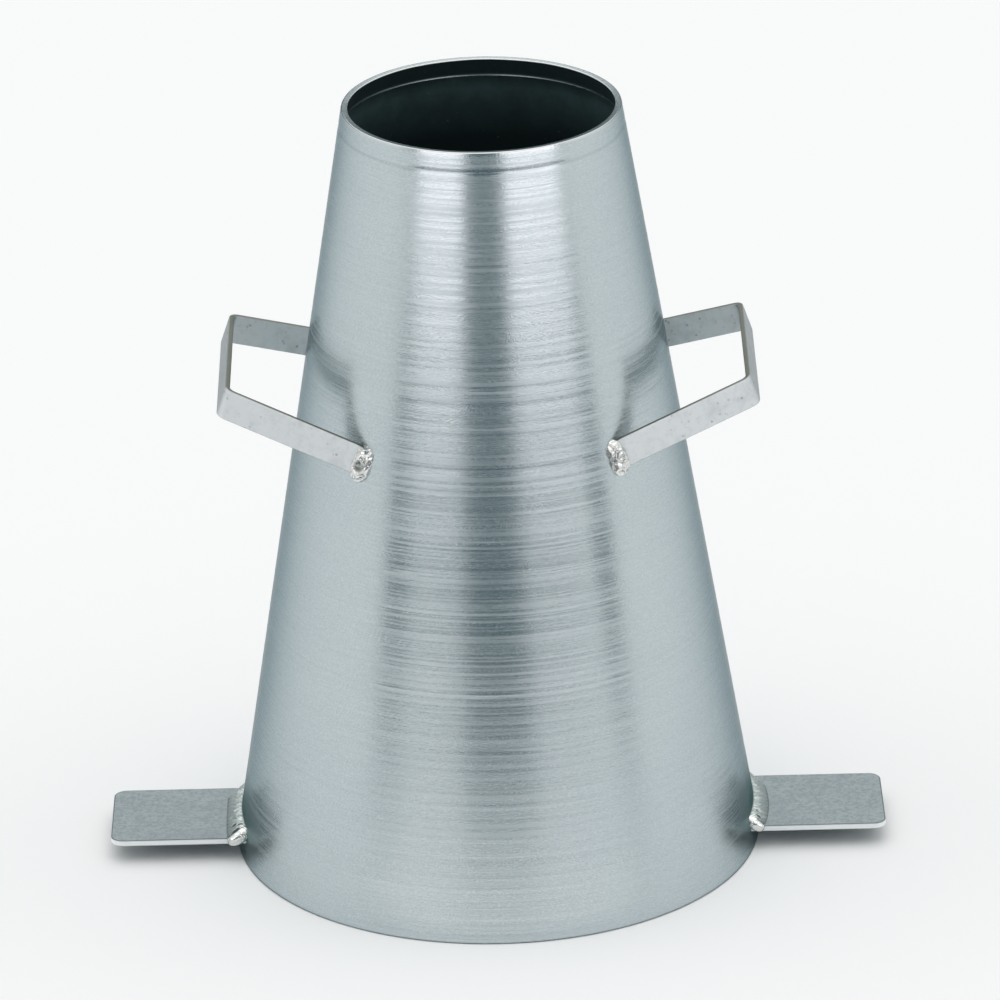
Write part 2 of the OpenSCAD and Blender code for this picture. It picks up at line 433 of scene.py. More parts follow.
def spun_zinc():
    """Satin zinc over spinning marks: rings of differing gloss, cool patches, faint scratches, painted shade
    in the groove behind the lip, and beside the foot welds a heat tint with a painted dark reflection of the
    plates
    """
    f, shell = settings().finish, settings().shell
    pale_grain = (0.80, 0.82, 0.82)
    dark_grain = (0.33, 0.39, 0.41)
    rim_zinc = (0.61, 0.63, 0.63)
    groove_painted_shade = (0.12, 0.16, 0.17)
    edge_tint = (0.36, 0.42, 0.44)
    s = Shader("spun zinc")
    rings = s.noise(s.stretched((0.5, 0.5, 700)), 3, 0.7)
    bands = s.noise(s.stretched((0.8, 0.8, 85)), 3, 0.6)
    dashes = s.noise(s.stretched((5, 5, 700)), 2, 0.5)
    patches = s.noise(s.place, 4, 0.6, 11)
    grain = s.noise(s.place, 2, 0.5, 1500)
    scratch_lay = s.stretched((30, 30, 900), (0.3, 0.5, 0.2))
    scratches = s.ramp(s.noise(scratch_lay, 0, 0.5), 0.72, 0.80)
    worn = s.reading("worn")
    heat_and_painted_reflection = s.heat_and_painted_reflection_of_feet()
    # Painted shade: the groove behind the lip is darkened in its colour
    from_groove = s.maths("ABSOLUTE", s.maths("SUBTRACT", s.z, shell.height - shell.lip_depth))
    groove = s.ramp(from_groove, shell.groove_width, shell.groove_width / 3, 0.0, 0.15)
    base = s.mix(s.ramp(patches, 0.38, 0.66), f.spun_zinc, f.spun_tint)
    base = s.mix(s.ramp(grain, 0.50, 0.70, 0.0, 0.20), base, pale_grain)
    base = s.mix(s.ramp(grain, 0.50, 0.30, 0.0, 0.20), base, dark_grain)
    base = s.mix(worn, base, rim_zinc)
    base = s.mix(groove, base, groove_painted_shade)
    # Painted reflection: the dark reflection of the foot plates is painted on the shell beside them, together
    # with a heat tint
    base = s.mix(heat_and_painted_reflection, base, f.heat_tint_and_painted_reflection)
    rough = s.total(s.ramp(rings, 0.46, 0.66, 0.20, 0.335), s.ramp(bands, 0.45, 0.70, 0.0, 0.08),
                    s.ramp(dashes, 0.48, 0.70, 0.0, 0.04), s.ramp(grain, 0.50, 0.72, 0.0, 0.025),
                    s.times(scratches, 0.08), s.times(worn, -0.08), s.times(heat_and_painted_reflection, 0.35))
    normal = s.swayed(s.ramp(dashes, 0.25, 0.75, -0.005, 0.005))
    normal = s.bump(rings, 0.14, 0.03 * MM, normal)
    normal = s.bump(bands, 0.8, 0.25 * MM, normal)
    normal = s.bump(grain, 0.5, 0.08 * MM, normal)
    s.metal.inputs["Anisotropic"].default_value = 0.35
    tangent = s.node("ShaderNodeTangent", direction_type="UV_MAP", uv_map="lay")
    s.join(tangent.outputs[0], s.metal.inputs["Tangent"])
    return s.dress(base, rough, normal, edge_tint)


def dull_inside():
    """Dark inside of the mould, its colour partly painted shade, with more painted shade deep down and over
    the lip above the crease, fine rings and a few bright flecks
    """
    f, shell = settings().finish, settings().shell
    crease = shell.height - shell.lip_depth
    patch_dark = (0.05, 0.085, 0.09)
    deep_painted_shade = (0.018, 0.034, 0.036)
    fleck_zinc = (0.5, 0.54, 0.54)
    s = Shader("dull inside")
    lines = s.noise(s.stretched((3, 3, 1100)), 2, 0.6)
    patches = s.noise(s.place, 5, 0.65, 30)
    flecks = s.ramp(s.noise(s.place, 1, 0.5, 700), 0.74, 0.78)
    # Painted shade: darker the deeper inside, and dark over the lip above the crease
    depth = s.ramp(s.z, crease - 3 * MM, crease - 26 * MM, 0.0, 0.9)
    shaded = s.maths("MAXIMUM", depth, s.ramp(s.z, crease, crease + 1 * MM, 0.0, 0.75))
    base = s.mix(s.ramp(patches, 0.35, 0.7), f.inside_tone_and_painted_shade, patch_dark)
    base = s.mix(shaded, base, deep_painted_shade)
    base = s.mix(s.times(flecks, 0.2), base, fleck_zinc)
    rough = s.ramp(patches, 0.3, 0.7, 0.40, 0.58)
    normal = s.bump(lines, 0.3, 0.05 * MM)
    return s.dress(base, rough, normal, metallic=0.5)


def bar_zinc():
    """Pale satin zinc on rolled bar: smudges, long rolling lines, small pits and painted shade along its
    rounded edges
    """
    f = settings().finish
    pit_dark = (0.22, 0.23, 0.25)
    edge_tint = (0.28, 0.30, 0.30)
    s = Shader("bar zinc")
    lay = s.node("ShaderNodeUVMap", uv_map="lay").outputs[0]
    rolled = s.noise(s.stretched((25, 1500, 1), source=lay), 2, 0.6)
    smudges = s.noise(s.place, 5, 0.62, 75)
    grain = s.noise(s.place, 2, 0.5, 1300)
    mottle = s.noise(s.place, 3, 0.7, 330)
    pits = s.node("ShaderNodeTexVoronoi", {"Vector": s.place, "Scale": 330.0}).outputs["Distance"]
    pits = s.times(s.ramp(pits, 0.22, 0.10), s.ramp(smudges, 0.48, 0.56))
    base = s.mix(s.ramp(smudges, 0.52, 0.78), f.bar_zinc, f.bar_smudge)
    base = s.mix(s.ramp(mottle, 0.50, 0.72, 0.0, 0.5), base, f.bar_smudge)
    base = s.mix(s.times(pits, 0.6), base, pit_dark)
    # Painted shade: the rounded edges of the bar are darkened in colour
    base = s.mix(s.reading("edge"), base, f.bar_edge_painted_shade)
    rough = s.total(s.ramp(smudges, 0.3, 0.7, 0.36, 0.52), s.times(rolled, 0.06))
    normal = s.bump(rolled, 0.20, 0.03 * MM)
    normal = s.bump(grain, 0.25, 0.04 * MM, normal)
    normal = s.bump(s.maths("SUBTRACT", 1.0, pits), 0.5, 0.12 * MM, normal)
    return s.dress(base, rough, normal, edge_tint)


def plate_zinc():
    """Matt grey zinc on cut plate: mottled patches, a fine grain, cut edges painted near white and partly
    dielectric as a painted highlight, and a painted line of shade along the arris
    """
    f = settings().finish
    olive_tint = (0.50, 0.53, 0.47)
    mottle_dark = (0.27, 0.31, 0.32)
    grain_pale = (0.44, 0.48, 0.48)
    arris_painted_shade = (0.10, 0.12, 0.12)
    edge_tint = (0.75, 0.77, 0.78)
    s = Shader("plate zinc")
    patches = s.noise(s.place, 4, 0.65, 38)
    grain = s.noise(s.place, 3, 0.6, 900)
    olive = s.noise(s.stretched((20, 20, 20), (0, 0, 0.8)), 3, 0.6)
    mottle = s.noise(s.place, 3, 0.7, 600)
    cut = s.reading("edge")
    arris_shade_mask = s.times(s.ramp(cut, 0.0, 0.2), s.ramp(cut, 0.95, 0.6))
    base = s.mix(s.ramp(patches, 0.35, 0.68), f.plate_zinc, f.plate_tint)
    base = s.mix(s.ramp(olive, 0.52, 0.75, 0.0, 0.35), base, olive_tint)
    base = s.mix(s.ramp(mottle, 0.42, 0.60, 0.0, 0.9), base, mottle_dark)
    base = s.mix(s.ramp(grain, 0.45, 0.75, 0.0, 0.4), base, grain_pale)
    # Painted highlight: the cut edges are painted near white and made partly dielectric, with a painted dark
    # line of shade where they meet the faces
    base = s.mix(cut, base, f.plate_edge_painted_highlight)
    base = s.mix(s.times(arris_shade_mask, 0.9), base, arris_painted_shade)
    rough = s.total(s.ramp(patches, 0.3, 0.7, 0.40, 0.54), s.times(cut, 0.3))
    normal = s.bump(grain, 0.30, 0.06 * MM)
    normal = s.bump(patches, 0.10, 0.3 * MM, normal)
    s.join(s.ramp(cut, 0.2, 1.0, 1.0, 0.15), s.metal.inputs["Metallic"])
    return s.dress(base, rough, normal, edge_tint)


def weld_zinc():
    """Glossy plated weld metal, with painted shade in its hollows, pits and between its ripples, and random
    dark spots
    """
    f = settings().finish
    straw_tint = (0.76, 0.74, 0.60)
    s = Shader("weld zinc")
    ripple, shine, dent = s.reading("ripple"), s.reading("shine"), s.reading("dent")
    spots = s.noise(s.place, 4, 0.65, 420)
    grain = s.noise(s.place, 2, 0.5, 1500)
    # Painted shade between the ripples, less on the glossy front end, joined with the painted shade carried
    # by the mesh and with random dark spots
    between = s.times(s.ramp(ripple, 0.40, 0.0, 0.0, 0.5), s.ramp(shine, 0.0, 1.0, 1.0, 0.15))
    painted_shade_and_spots = s.maths("MAXIMUM", between, dent)
    painted_shade_and_spots = s.maths("ADD", painted_shade_and_spots, s.ramp(spots, 0.60, 0.72, 0.0, 0.4), True)
    # Painted highlight: the front end of a foot weld takes the paler colour, which handle welds have all over
    base = s.mix(shine, f.weld_dull, f.weld_zinc)
    base = s.mix(s.ramp(spots, 0.30, 0.42, 0.12, 0.0), base, straw_tint)
    base = s.mix(painted_shade_and_spots, base, f.weld_painted_shade_and_spots)
    rough = s.total(s.ramp(painted_shade_and_spots, 0.0, 1.0, 0.42, 0.55), s.times(shine, -0.24))
    normal = s.bump(grain, 0.25, 0.08 * MM)
    normal = s.bump(spots, 0.35, 0.25 * MM, normal)
    return s.dress(base, rough, normal)


# Geometry Nodes trees


class Tree(Writer):
    """A Geometry Nodes tree with named inputs, built in order"""

    def __init__(self, name, inputs):
        super().__init__(bpy.data.node_groups.new(name, "GeometryNodeTree"))
        face = self.tree.interface
        face.new_socket("Geometry", in_out="INPUT", socket_type="NodeSocketGeometry")
        face.new_socket("Geometry", in_out="OUTPUT", socket_type="NodeSocketGeometry")
        self.keys = {}
        for label, kind in inputs:
            self.keys[label] = face.new_socket(label, in_out="INPUT", socket_type=kind).identifier
        self.given = self.node("NodeGroupInput").outputs
        self.result = self.node("NodeGroupOutput").inputs[0]

    def reading(self, name):
        return self.node("GeometryNodeInputNamedAttribute", {"Name": name},
                         data_type="FLOAT").outputs["Attribute"]

    def raised(self, geometry, height):
        """Moves the surface along its normals by a height"""
        normal = self.node("GeometryNodeInputNormal").outputs[0]
        offset = self.node("ShaderNodeVectorMath", {0: normal, "Scale": height}, operation="SCALE")
        return self.node("GeometryNodeSetPosition", {
            "Geometry": geometry, "Offset": offset.outputs[0]}).outputs[0]

    def lumps(self, size, seed, detail):
        """Soft noise from 0 to 1 whose swellings have a size"""
        spot = self.node("GeometryNodeInputPosition").outputs[0]
        scaled = self.node("ShaderNodeVectorMath", {
            0: spot, "Scale": self.maths("DIVIDE", 1.0, size)}, operation="SCALE").outputs[0]
        return self.node("ShaderNodeTexNoise", {
            "Vector": scaled, "W": seed, "Scale": 1.0, "Detail": detail},
            noise_dimensions="4D").outputs[0]

    def kept(self, geometry, name, value):
        """Stores a value on the points for the material to read"""
        return self.node("GeometryNodeStoreNamedAttribute", {
            "Geometry": geometry, "Name": name, "Value": value},
            data_type="FLOAT", domain="POINT").outputs[0]

    def finish(self, geometry):
        """Realizes the geometry, sets the finish that was given and ends the tree"""
        real = self.node("GeometryNodeRealizeInstances", {"Geometry": geometry}).outputs[0]
        self.end(self.node("GeometryNodeSetMaterial", {
            "Geometry": real, "Material": self.given["Finish"]}).outputs[0])

    def end(self, geometry):
        self.join(geometry, self.result)

    def apply(self, obj, values):
        modifier = obj.modifiers.new(self.tree.name, "NODES")
        modifier.node_group = self.tree
        for label, value in values.items():
            modifier[self.keys[label]] = value
        flatten(obj)


def spinning_marks():
    """Rings that the spinning tool leaves, deeper on the outside than on the inside"""
    t = Tree("spinning marks", [
        ("Ring pitch", "NodeSocketFloat"), ("Ring depth", "NodeSocketFloat"),
        ("Seed", "NodeSocketInt"), ("Outside finish", "NodeSocketMaterial"),
        ("Inside finish", "NodeSocketMaterial")])
    spot = t.node("GeometryNodeInputPosition").outputs[0]
    height = t.node("ShaderNodeSeparateXYZ", {0: spot}).outputs["Z"]
    turns = t.maths("ADD", t.maths("DIVIDE", height, t.given["Ring pitch"]), t.given["Seed"])
    noise = t.node("ShaderNodeTexNoise", {"W": turns, "Scale": 1.0, "Detail": 1.5, "Roughness": 0.6},
                   noise_dimensions="1D")
    wave = t.maths("SUBTRACT", noise.outputs[0], 0.5)
    depth = t.maths("MULTIPLY", t.given["Ring depth"], t.reading("spun"))
    marked = t.raised(t.given["Geometry"], t.maths("MULTIPLY", wave, depth))
    real = t.node("GeometryNodeRealizeInstances", {"Geometry": marked}).outputs[0]
    outside = t.node("GeometryNodeSetMaterial", {
        "Geometry": real, "Material": t.given["Outside finish"]}).outputs[0]
    inner = t.maths("GREATER_THAN", t.reading("inside"), 0.5)
    t.end(t.node("GeometryNodeSetMaterial", {
        "Geometry": outside, "Selection": inner, "Material": t.given["Inside finish"]}).outputs[0])
    return t


def weld_ripples():
    """Ripples along a bead, bowed and slanted across it, with uneven swellings, and painted shade kept for
    its valleys and hollows
    """
    t = Tree("weld ripples", [
        ("Ripple pitch", "NodeSocketFloat"), ("Ripple height", "NodeSocketFloat"),
        ("Bow", "NodeSocketFloat"), ("Slant", "NodeSocketFloat"),
        ("Lump size", "NodeSocketFloat"), ("Lump height", "NodeSocketFloat"),
        ("Ridge size", "NodeSocketFloat"), ("Ridge height", "NodeSocketFloat"),
        ("Valley shade", "NodeSocketFloat"),
        ("Seed", "NodeSocketInt"), ("Finish", "NodeSocketMaterial")])
    lump_bend, crest_power, ridge_half, valley_power = 1.2, 0.7, 0.2, 3.0
    lumps = t.lumps(t.given["Lump size"], t.given["Seed"], 2.0)
    across = t.reading("across")
    bowed = t.maths("MULTIPLY", t.given["Bow"], t.maths("MULTIPLY", across, across))
    slanted = t.maths("MULTIPLY", t.given["Slant"], across)
    bent = t.maths("ADD", t.maths("ADD", bowed, slanted), t.maths("MULTIPLY", lumps, lump_bend))
    phase = t.maths("ADD", t.maths("DIVIDE", t.reading("along"), t.given["Ripple pitch"]), bent)
    crest = t.maths("SINE", t.maths("MULTIPLY", t.maths("FRACT", phase), math.pi))
    crest = t.maths("POWER", t.maths("MAXIMUM", crest), crest_power)
    height = t.maths("MULTIPLY", crest, t.given["Ripple height"])
    swell = t.maths("MULTIPLY", t.maths("SUBTRACT", lumps, 0.5), t.given["Lump height"])
    crumpled = t.maths("SUBTRACT", t.lumps(t.given["Ridge size"], t.given["Seed"], 0.5), 0.5)
    crumpled = t.maths("MINIMUM", t.maths("ABSOLUTE", crumpled), ridge_half)
    crumpled = t.maths("DIVIDE", crumpled, ridge_half)
    drop = t.maths("MULTIPLY", crumpled, t.given["Ridge height"])
    free = t.reading("free")
    relief = t.maths("SUBTRACT", t.maths("ADD", height, swell), drop)
    bead = t.raised(t.given["Geometry"], t.maths("MULTIPLY", relief, free))
    # Painted shade: the valleys between the crumpled ridges are darkened, and the painted shade from the mesh
    # is lightened on the ridges
    valley = t.maths("MULTIPLY", t.maths("POWER", crumpled, valley_power), t.given["Valley shade"])
    ridge_light = t.maths("MULTIPLY", t.maths("SUBTRACT", 1.0, crumpled), t.given["Valley shade"])
    shaded = t.maths("MULTIPLY", t.reading("dent"), t.maths("SUBTRACT", 1.0, ridge_light))
    bead = t.kept(bead, "dent", t.maths("MAXIMUM", shaded, valley))
    t.finish(t.kept(bead, "ripple", t.maths("MULTIPLY", crest, free)))
    return t


# Blanks that the operators dress


def turned_mark(z):
    """Depth of the groove behind the lip and of the line that stands out lower down"""
    s = settings().shell
    groove = math.exp(-((z - s.height + s.lip_depth) / s.groove_width) ** 2)
    line = math.exp(-((z - s.line_height) / s.line_width) ** 2)
    return s.groove_depth * groove - s.line_rise * line


def shell_levels():
    """Heights of the outside rings, closer together at the turned marks"""
    s = settings().shell
    low, high = 2 * s.edge, s.height - 2 * s.edge
    steps = round((high - low) / s.ring_step)
    levels = [low + (high - low) * i / steps for i in range(steps + 1)]
    mark_steps = 6
    for centre, width in ((s.height - s.lip_depth, s.groove_width), (s.line_height, s.line_width)):
        reach, clear = 2 * width, 2.2 * width
        marks = [centre + reach * i / mark_steps for i in range(-mark_steps, mark_steps + 1)]
        levels = [z for z in levels if abs(z - centre) > clear] + marks
    return sorted(levels)


def shell_outline():
    """Closed wall section as (radius, height, spun, inside, worn), shares but for the first two"""
    s = settings().shell
    rim_r, edge, inner = s.mouth_r + s.rim_width, s.edge, s.rim_round
    fade_in, hold, ridge = 3 * MM, 0.15 * MM, 0.33 * MM
    arc_steps, lip_steps, inner_steps = 4, 8, 60
    lip_start, lip_stop, inside_spun = 0.1, 0.5, 0.4
    slope = math.tan(s.rim_fall)
    foot_nick, ridge_face = 0.3 * edge, 0.4 * ridge

    def rounded(r, z, size, begin):
        """A quarter circle of the rim about its centre"""
        return [(r + size * math.cos(a), z + size * math.sin(a), 0, 0, 1) for a in arc(arc_steps, begin)]

    outline = [(s.foot_r - edge, 0, 0, 0, 0), (s.foot_r - foot_nick, foot_nick, 0, 0, 0)]
    for z in shell_levels():
        fade = min(1, z / fade_in, (s.height - z) / fade_in)
        outline.append((outside_r(z) - turned_mark(z), z, fade, 0, 0))
    outline += rounded(rim_r - edge, s.height - edge, edge, 0)
    lip_top = s.height - (s.rim_width - edge - inner) * slope
    outline += [(rim_r - edge - hold, s.height - hold * slope, 0, 0, 1),
                (s.mouth_r + inner + hold, lip_top + hold * slope, 0, 0, 1)]
    lip_top -= inner
    outline += rounded(s.mouth_r + inner, lip_top, inner, 90)
    crease = s.height - s.lip_depth
    crease_r = outside_r(crease) - s.wall
    for i in range(lip_steps):
        part = (i + lip_start) / (lip_steps - lip_stop)
        r = s.mouth_r + (crease_r - s.mouth_r) * part
        outline.append((r, lip_top + (crease - lip_top) * part, 0, 1, 0))
    outline += [(crease_r - ridge, crease, 0, 0, 0), (crease_r - ridge, crease - ridge_face, 0, 0, 0),
                (crease_r, crease - ridge, 0, 1, 0)]
    for i in range(1, inner_steps + 1):
        z = max(edge, (crease - ridge) * (1 - i / inner_steps))
        outline.append((outside_r(z) - s.wall, z, inside_spun, 1, 0))
    outline.append((outside_r(0) - s.wall + edge, 0, 0, 0, 0))
    return outline


def shell_blank():
    """The wall section turned about the axis, with a lay map that runs up the shell"""
    s = settings().shell
    outline = shell_outline()
    count, sectors = len(outline), s.sectors
    points = []
    for k in range(sectors):
        turn = math.pi / 2 + 2 * math.pi * k / sectors
        points += [(r * math.cos(turn), r * math.sin(turn), z) for r, z, *_ in outline]
    mesh = mesh_from("spun_shell", points, tube_faces(sectors, count, closed=True))
    for column, name in enumerate(("spun", "inside", "worn"), start=2):
        add_attribute(mesh, name, [row[column] for row in outline] * sectors)
    run = [0.0]
    for a, b in zip(outline, outline[1:] + outline[:1]):
        run.append(run[-1] + math.hypot(a[0] - b[0], a[1] - b[1]))
    lay = mesh.uv_layers.new(name="lay")
    for k in range(sectors):
        for j in range(count):
            first = (k * count + j) * 4
            corners = ((run[j], k), (run[j + 1], k), (run[j + 1], k + 1), (run[j], k + 1))
            for n, (up, sector) in enumerate(corners):
                lay.data[first + n].uv = (up, sector / sectors)
    outward(mesh)
    return mesh


class HandlePlane:
    """The bent bar's own plane: X outwards from the grip's outside, Y along the grip, Z across the bar"""

    def __init__(self, side):
        h = settings().handle
        self.reach = outside_r(h.grip_height) + h.standoff
        self.start = Vector((side * self.reach, 0, h.grip_height))
        self.out = Vector((side * math.cos(h.rise), 0, math.sin(h.rise)))
        self.over = Vector((-side * math.sin(h.rise), 0, math.cos(h.rise)))
        # A leg ends where its plane, its half spread and the cone meet: the larger root of a x^2 + b x + c
        slope, rise = math.tan(shell_lean()), math.tan(h.rise)
        at_axis = outside_r(h.grip_height - self.reach * rise)
        a = 1 - (slope * rise) ** 2
        b = 2 * at_axis * slope * rise
        c = (h.leg_spread / 2) ** 2 - at_axis ** 2
        seat_x = (-b + math.sqrt(b * b - 4 * a * c)) / (2 * a)
        self.seat = Vector(((seat_x - self.reach) / math.cos(h.rise), h.leg_spread / 2))
        self.bend = Vector((-h.bend_r - h.bar_thickness, h.grip_straight / 2))
        offset = self.seat - self.bend
        self.run = math.sqrt(offset.length_squared - h.bend_r ** 2)
        self.turn = math.atan2(offset.y, offset.x) - math.atan2(self.run, h.bend_r)
        self.across = Vector((math.cos(self.turn), math.sin(self.turn)))
        self.along = Vector((-self.across.y, self.across.x))

    def at(self, flat, over, end):
        """Point in space from a place in the plane, on the front or rear half"""
        return self.start + self.out * flat.x + Vector((0, end * flat.y, 0)) + self.over * over


def bar_section():
    """Rounded section of the flat bar as (offset through its thickness, height), turning left"""
    h = settings().handle
    half_t, half_w, r = h.bar_thickness / 2, h.bar_width / 2, h.bar_edge
    arc_steps = 3
    section = []
    for sx, sy, begin in ((1, 1, 0), (-1, 1, 90), (-1, -1, 180), (1, -1, 270)):
        for a in arc(arc_steps, begin):
            section.append((sx * (half_t - r) + r * math.cos(a), sy * (half_w - r) + r * math.sin(a)))
    return section


def run_to_shell(plane, foot, over, end, limit):
    """How far a line along the leg goes before it sits a little inside the shell"""
    sink, halvings = settings().weld.sink, 40
    low, high = 0.0, limit
    for _ in range(halvings):
        middle = (low + high) / 2
        p = plane.at(foot + plane.along * middle, over, end)
        if math.hypot(p.x, p.y) > outside_r(p.z) - sink:
            low = middle
        else:
            high = middle
    return low


def handle_blank(side):
    h = settings().handle
    plane = HandlePlane(side)
    section = bar_section()
    middle_r = h.bend_r + h.bar_thickness / 2
    bend_steps, leg_steps = 14, 10
    half = []
    for i in range(bend_steps + 1):
        a = plane.turn * i / bend_steps
        half.append((Vector((math.cos(a), math.sin(a))), 0.0))
    half += [(plane.across, (i + 1) / leg_steps) for i in range(leg_steps)]
    stations = [(a, part, -1) for a, part in reversed(half)] + [(a, part, 1) for a, part in half]
    points, along = [], []
    done, last = 0.0, None
    for across, part, end in stations:
        ring = []
        for u, over in section:
            foot = plane.bend + across * (middle_r + u)
            reach = run_to_shell(plane, foot, over, end, plane.run + h.leg_bite) if part else 0.0
            ring.append(plane.at(foot + plane.along * reach * part, over, end))
        centre = sum(ring, Vector()) / len(ring)
        done += (centre - last).length if last else 0.0
        last = centre
        points += ring
        along += [done] * len(ring)
    count, rings = len(section), len(stations)
    mesh = mesh_from("handle_bar", points, tube_faces(rings, count))
    flat_half = h.bar_width / 2 - h.bar_edge
    # Share of the rounded edges, which the bar's finish darkens as painted shade
    cut = [max(0.0, (abs(over) - flat_half) / h.bar_edge) ** 2 for _, over in section]
    add_attribute(mesh, "edge", cut * rings)
    girth = [0.0]
    for a, b in zip(section, section[1:] + section[:1]):
        girth.append(girth[-1] + math.hypot(a[0] - b[0], a[1] - b[1]))
    lay = mesh.uv_layers.new(name="lay")
    for face in mesh.polygons:
        for corner in face.loop_indices:
            v = mesh.loops[corner].vertex_index
            lay.data[corner].uv = (along[v], girth[v % count])
    outward(mesh)
    return mesh


def plate_outline(inset, z):
    """Edge of the plate at a height: the root arc in the shell, then round the outer corners"""
    p = settings().plate
    sink = settings().weld.sink
    root_r = outside_r(z) - sink
    half = p.half_width - inset
    root_steps, arc_steps = 16, 8
    start = math.asin(half / root_r)
    outline = []
    for i in range(root_steps + 1):
        a = start * (1 - 2 * i / root_steps)
        outline.append((root_r * math.cos(a), root_r * math.sin(a)))
    r = p.corner_r - inset
    for sy, begin in ((-1, 270), (1, 0)):
        for a in arc(arc_steps, begin):
            outline.append((p.reach - p.corner_r + r * math.cos(a),
                            sy * (p.half_width - p.corner_r) + r * math.sin(a)))
    return outline


def plate_blank(side):
    p = settings().plate
    edge_steps = 3
    turns = arc(edge_steps)
    levels = [(p.bottom + p.edge, -1, a) for a in reversed(turns)] + [(p.top - p.edge, 1, a) for a in turns]
    rings, cut = [], []
    for base, up, a in levels:
        inset, z = p.edge * (1 - math.cos(a)), base + up * p.edge * math.sin(a)
        rings.append([(side * x, y, z) for x, y in plate_outline(inset, z)])
        # Edge share, which the plate's finish uses for its painted highlight and arris shade
        cut += [1 - inset / p.edge] * len(rings[-1])
    return loft_blank("foot_plate", rings, edge=cut)


def loft_blank(name, rings, **values):
    """Closed skin over rings of as many points, with named values on the points"""
    points = [p for ring in rings for p in ring]
    mesh = mesh_from(name, points, tube_faces(len(rings), len(rings[0])))
    for key, value in values.items():
        add_attribute(mesh, key, value)
    outward(mesh)
    return mesh


def fillet_reach(a, opening, low_leg, high_leg, round_share):
    """Distance from the corner to the face of a fillet, between a flat face and a round one"""
    foot = Vector((low_leg, 0))
    head = Vector((high_leg * math.cos(opening), high_leg * math.sin(opening)))
    face = head - foot
    inner = min(max(a, 0.0), opening)
    ray = Vector((math.cos(inner), math.sin(inner)))
    flat = (foot.x * face.y - foot.y * face.x) / (ray.x * face.y - ray.y * face.x)
    bowed = low_leg + (high_leg - low_leg) * inner / opening
    return round_share * bowed + (1 - round_share) * flat


def foot_bead_blank(name, up):
    """Fillet in the corner of shell and plate, which wraps round the rear edge and, on top, the front one"""
    p, w = settings().plate, settings().weld
    side = SIDES[name]
    corner_z = p.top if up > 0 else p.bottom
    plate_leg, shell_leg = (w.plate_leg, w.shell_leg) if up > 0 else (w.lower_leg, w.lower_leg)
    straight = w.straight_share if up * side < 0 else 0.0
    corner_r = outside_r(corner_z)
    opening = math.radians(90) + up * shell_lean()
    front = -p.half_width - (w.front_wrap if up > 0 else -w.lower_short)
    rear = p.half_width + w.rear_wrap
    end_round = w.end_round if up > 0 else w.lower_round
    pits = PITS[name] if up > 0 else ()
    stations, end_steps, arc_steps = 240, 8, 20
    end_dip, least_size, pit_shade, toe_steepness = math.radians(30), 0.01, 1.8, 6
    step = 1 / stations
    places = [step * (k / end_steps) ** 2 for k in range(end_steps)]
    places += [i * step for i in range(1, stations)]
    places += [1 - step * (k / end_steps) ** 2 for k in range(end_steps - 1, -1, -1)]
    rings, along, across, free, shine, dent = [], [], [], [], [], []
    for place in places:
        y = front + (rear - front) * place
        past = max(0.0, 1 - min(y - front, rear - y) / end_round)
        size = math.sqrt(max(0.0, 1 - past ** 3)) + least_size
        low = -end_dip * past
        turn = math.asin(y / corner_r)
        taper = min(1.0, (rear - y) / w.rear_taper)
        leg = plate_leg + straight * corner_r * (1 - math.cos(turn))
        leg *= w.rear_share + (1 - w.rear_share) * taper
        # Painted highlight: the front end of a foot weld is painted paler, as well as made glossier
        bright = max(0.0, min(1.0, (w.shine_length - p.half_width - y) / w.shine_length))
        radial = Vector((side * math.cos(turn), math.sin(turn), 0))
        corner = radial * corner_r + Vector((0, 0, corner_z))
        ring = []

        def put(a, reach, weight, across_at):
            half = (leg + shell_leg) / 4
            # Painted shade: the pits are darkened in colour as well as sunk
            away = [math.hypot(y - front - back, half * (across_at - over)) / r for back, over, r in pits]
            pit = weight * max([0.0] + [1 - far ** 2 for far in away])
            reach -= w.pit_depth * pit
            dent.append(min(1.0, pit_shade * pit))
            ring.append(corner + radial * reach * math.cos(a) + Vector((0, 0, up * reach * math.sin(a))))
            along.append(turn * corner_r)
            across.append(across_at)
            free.append(weight)
            shine.append(bright)

        put(low - math.atan2(w.sink, size * leg), math.hypot(size * leg, w.sink), 0.0, -1.0)
        for k in range(arc_steps + 1):
            part = k / arc_steps
            a = low + (opening - low) * part
            reach = size * fillet_reach(a, opening, leg, shell_leg, w.round_share)
            put(a, reach, size * min(1.0, toe_steepness * min(part, 1 - part)), 2 * part - 1)
        put(opening + math.atan2(w.sink, size * shell_leg), math.hypot(size * shell_leg, w.sink), 0.0, 1.0)
        put(opening / 2 + math.pi, w.sink, 0.0, 0.0)
        rings.append(ring)
    return loft_blank("foot_bead", rings, along=along, across=across, free=free, shine=shine, dent=dent)


